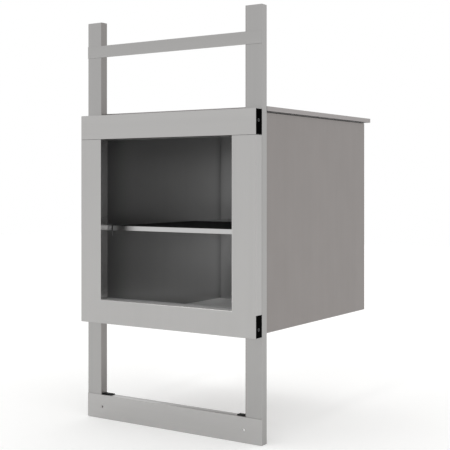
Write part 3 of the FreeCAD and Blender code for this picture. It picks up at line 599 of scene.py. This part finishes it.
# The skin is a warm, flat grey with hardly any reflection, and the cover a little lighter.
case_steel = brushed_stainless("dull_stainless_case", "#989391", "#918d8b", 0.5, "Z")
cover_steel = brushed_stainless("dull_stainless_cover", "#a6a2a1", "#9f9b9a", 0.48, "Y")
for side in SIDES:
    dress(f"side_panel_{side}", case_steel, edge_mm=0.5)
    dress(f"guide_plate_{side}", case_steel, edge_mm=0.6)
    dress(f"rear_post_{side}", case_steel, edge_mm=0.5)
dress("rear_panel", case_steel, edge_mm=0.4)
dress("bottom_pan", case_steel, edge_mm=0.4)
dress("top_cover", cover_steel, edge_mm=0.7)


def film_plywood_and_gap_shade(name):
    """Plywood under a dark resin film, darkened further as painted shade in the gap under the
    cover. Its sealed edge reads as a dark line, in which the veneers, about 1.4 mm thick, still
    show faintly."""
    material = start_finish(name)
    place = add(material, "ShaderNodeTexCoord")
    plies = add(material, "ShaderNodeTexWave", {"bands_direction": "Z"},
                {"Vector": place.outputs["Object"], "Scale": 1 / (2.8 * MM * 2 * math.pi),
                 "Distortion": 0.3})
    colour = add(material, "ShaderNodeMix", {"data_type": "RGBA"},
                 {0: plies.outputs["Fac"], 6: linear("#1a1413"), 7: linear("#261d1b")})
    return surface(material, {"Base Color": colour.outputs[2], "Roughness": 0.5,
                              "Specular IOR Level": 0.15})


# The board's dark is partly its film and partly painted shade for the gap it shows in.
dress("cover_board", film_plywood_and_gap_shade("film_plywood_and_gap_shade"))

rear_screws = bmesh.new()
rear_low, rear_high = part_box("rear_panel_screws")
rear_skin_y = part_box("rear_panel")[1].y
screw_x = rear_high.x - REAR_HEAD_RADIUS
screw_heights = (rear_low.z + REAR_HEAD_RADIUS, (rear_low.z + rear_high.z) / 2,
                 rear_high.z - REAR_HEAD_RADIUS)
for sign in SIDES.values():
    for height in screw_heights:
        socket_screw(rear_screws, (sign * screw_x, rear_skin_y, height), "Y", 1,
                     head_radius=REAR_HEAD_RADIUS, head_height=2.5 * MM, shank_radius=2.5 * MM,
                     shank_length=rear_skin_y - rear_low.y, key=3 * MM)
# Plain bright screws, lighter than the panel round them.
screw_steel = turned_metal("stainless_screw_steel", "#b5b6b8", 0.25, 0.4, axis="Y")
piece_from("rear_cover_screws", rear_screws, screw_steel, "car",
           "rear_panel_screws")

# --- Guide rollers and belt clamps -------------------------------------------------------
# Turned nylon rollers on steel pins, in brackets folded from zinc-plated steel and bolted
# to the guide plates. A clamp block beside them grips the belt.

ROLLER_BORE, ROLLER_EDGE = 3.05 * MM, 0.8 * MM
# Each end face has a flat hub and a flat rim, and a groove with sloped sides between them.
HUB, RIM, GROOVE_DEPTH, GROOVE_SLOPE = 1.6 * MM, 1.8 * MM, 1.0 * MM, 0.4 * MM
BRACKET_SHEET = 3 * MM
BOLT_OFFSET = 23 * MM


def roller_mesh(node):
    """A roller with chamfered rims and a shallow groove turned into each end face."""
    low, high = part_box(node)
    centre = ((low.x + high.x) / 2, (low.y + high.y) / 2, (low.z + high.z) / 2)
    half, radius = (high.x - low.x) / 2, (high.z - low.z) / 2
    hub, rim = ROLLER_BORE + HUB, radius - RIM
    end = [(half, ROLLER_BORE), (half, hub), (half - GROOVE_DEPTH, hub + GROOVE_SLOPE),
           (half - GROOVE_DEPTH, rim - GROOVE_SLOPE), (half, rim),
           (half, radius - ROLLER_EDGE), (half - ROLLER_EDGE, radius)]
    stations = [(-along, reach) for along, reach in end] + end[::-1] + [(-half, ROLLER_BORE)]
    mesh = bmesh.new()
    turn(mesh, centre, "X", stations, segments=48)
    return mesh


# The zinc is a cool, cloudy grey; the nylon is an off-white with a soft sheen.
zinc_steel = brushed_stainless("zinc_plated_steel", "#a9adb1", "#9a9ea4", 0.45, "Z")
nylon = moulded("turned_white_nylon", "#dedcd4", roughness=0.4, grain_mm=0.5)
bracket_bolts = bmesh.new()
seat_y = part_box("guide_plate_right")[0].y - BRACKET_SHEET
bolt_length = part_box("bracket_bolts")[1].y - seat_y
for level in ("upper", "lower"):
    for side in SIDES:
        corner = f"{level}_{side}"
        dress(f"roller_bracket_{corner}", zinc_steel, edge_mm=0.6)
        piece_from(f"nylon_roller_{corner}", roller_mesh(f"guide_roller_{corner}"),
                   nylon, f"roller_{corner}", f"guide_roller_{corner}")
        low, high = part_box(f"roller_bracket_{corner}")
        for rise in (-BOLT_OFFSET, BOLT_OFFSET):
            seat = ((low.x + high.x) / 2, seat_y, (low.z + high.z) / 2 + rise)
            socket_screw(bracket_bolts, seat, "Y", -1, head_radius=4.25 * MM,
                         head_height=3 * MM, shank_radius=2.5 * MM,
                         shank_length=bolt_length, key=3 * MM)
piece_from("socket_bolts", bracket_bolts, screw_steel, "car", "bracket_bolts")
dress("roller_axles", bright_steel)
for side in SIDES:
    dress(f"belt_clamp_{side}", zinc_steel, edge_mm=0.5)

# --- Shelf -----------------------------------------------------------------------------
# A tray folded from stainless sheet and buffed bright along its front edge, with a black
# rubber mat let into it, flush with its rim, so that plates don't slide. Behind the mat a
# margin of the tray is left bare and scuffed.

# How far under the tray's top, and behind its front, the scuffed metal starts.
SCUFF_DROP_MM, SCUFF_SETBACK_MM = 0.3, 1

# The front edge is the brightest line of the lift; the mat is black with a faint grey bloom.
shelf_steel = brushed_stainless("buffed_stainless_shelf", "#c0c0bf", "#bababa", 0.3, "X")
shelf_low, shelf_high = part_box("shelf_tray")
margin = (above(shelf_steel, "Z", shelf_high.z / MM - SCUFF_DROP_MM),
          above(shelf_steel, "Y", shelf_low.y / MM + SCUFF_SETBACK_MM))
rework(shelf_steel, margin, roughness=0.45, metal=0.3)
dress("shelf_tray", shelf_steel, edge_mm=0.5)
mat_rubber = moulded("black_anti_slip_rubber", "#1c1c1c", roughness=0.65, grain_mm=1.2,
                     shine=0.09)
dress("shelf_mat", mat_rubber, edge_mm=0.4)

# --- Floor, light and camera -------------------------------------------------------------
# A plain white floor and an even white surround, as in a product studio, with two narrow
# soft lamps aimed into the car. None of it belongs to the lift.

FLOOR_REACH = 9
# The floor lies just under the lift's foot, so that the two faces don't meet.
FLOOR_Z = -0.0003
WHITE = (1, 1, 1, 1)
LAMP_RADIUS = 0.25

floor_mesh = bpy.data.meshes.new("floor")
floor_corners = [(x * FLOOR_REACH, y * FLOOR_REACH, FLOOR_Z)
                 for x, y in ((-1, -1), (1, -1), (1, 1), (-1, 1))]
floor_mesh.from_pydata(floor_corners, [], [(0, 1, 2, 3)])
floor = bpy.data.objects.new("floor", floor_mesh)
bpy.context.scene.collection.objects.link(floor)
# Flat white paint, lifted a little by its own light so that the shadow stays pale.
floor_mesh.materials.append(surface(start_finish("floor_paint"), {
    "Base Color": linear("#f0f0ef"), "Roughness": 0.9,
    "Emission Color": WHITE, "Emission Strength": 0.2,
}))

world = bpy.data.worlds.new("studio")
bpy.context.scene.world = world
world.use_nodes = True
world.node_tree.nodes["Background"].inputs["Color"].default_value = WHITE
world.node_tree.nodes["Background"].inputs["Strength"].default_value = 1.0


def aimed_lamp(name, watts, cone_degrees, blend, place, target):
    """A soft narrow lamp that polished metal doesn't mirror."""
    lamp_data = bpy.data.lights.new(name, "SPOT")
    lamp_data.energy = watts
    lamp_data.spot_size = math.radians(cone_degrees)
    lamp_data.spot_blend = blend
    lamp_data.shadow_soft_size = LAMP_RADIUS
    lamp = bpy.data.objects.new(name, lamp_data)
    lamp.visible_glossy = False
    bpy.context.scene.collection.objects.link(lamp)
    lamp.location = place
    lamp.rotation_euler = (Vector(target) - lamp.location).to_track_quat("-Z", "Y").to_euler()


aimed_lamp("window_lamp", watts=300, cone_degrees=15, blend=0.6,
           place=(0.3, -3.6, 1.35), target=(0, 0.2, 0.5))
aimed_lamp("side_lamp", watts=7000, cone_degrees=5.5, blend=1.0,
           place=(2.3, -3.0, 0.7), target=(0.2, -0.05, 0.43))

# The camera stands level, and its lens is shifted, so upright edges stay upright.
camera_data = bpy.data.cameras.new("camera")
camera = bpy.data.objects.new("camera", camera_data)
bpy.context.scene.collection.objects.link(camera)
camera.location = (1.9195, -2.5695, 0.8033)
camera.rotation_euler = (math.radians(90), 0, math.radians(33.71))
camera_data.lens = 78.816
camera_data.sensor_width = 36
camera_data.shift_y = -0.0957
camera_data.clip_end = 60
bpy.context.scene.camera = camera
bpy.context.scene.view_settings.view_transform = "Standard"
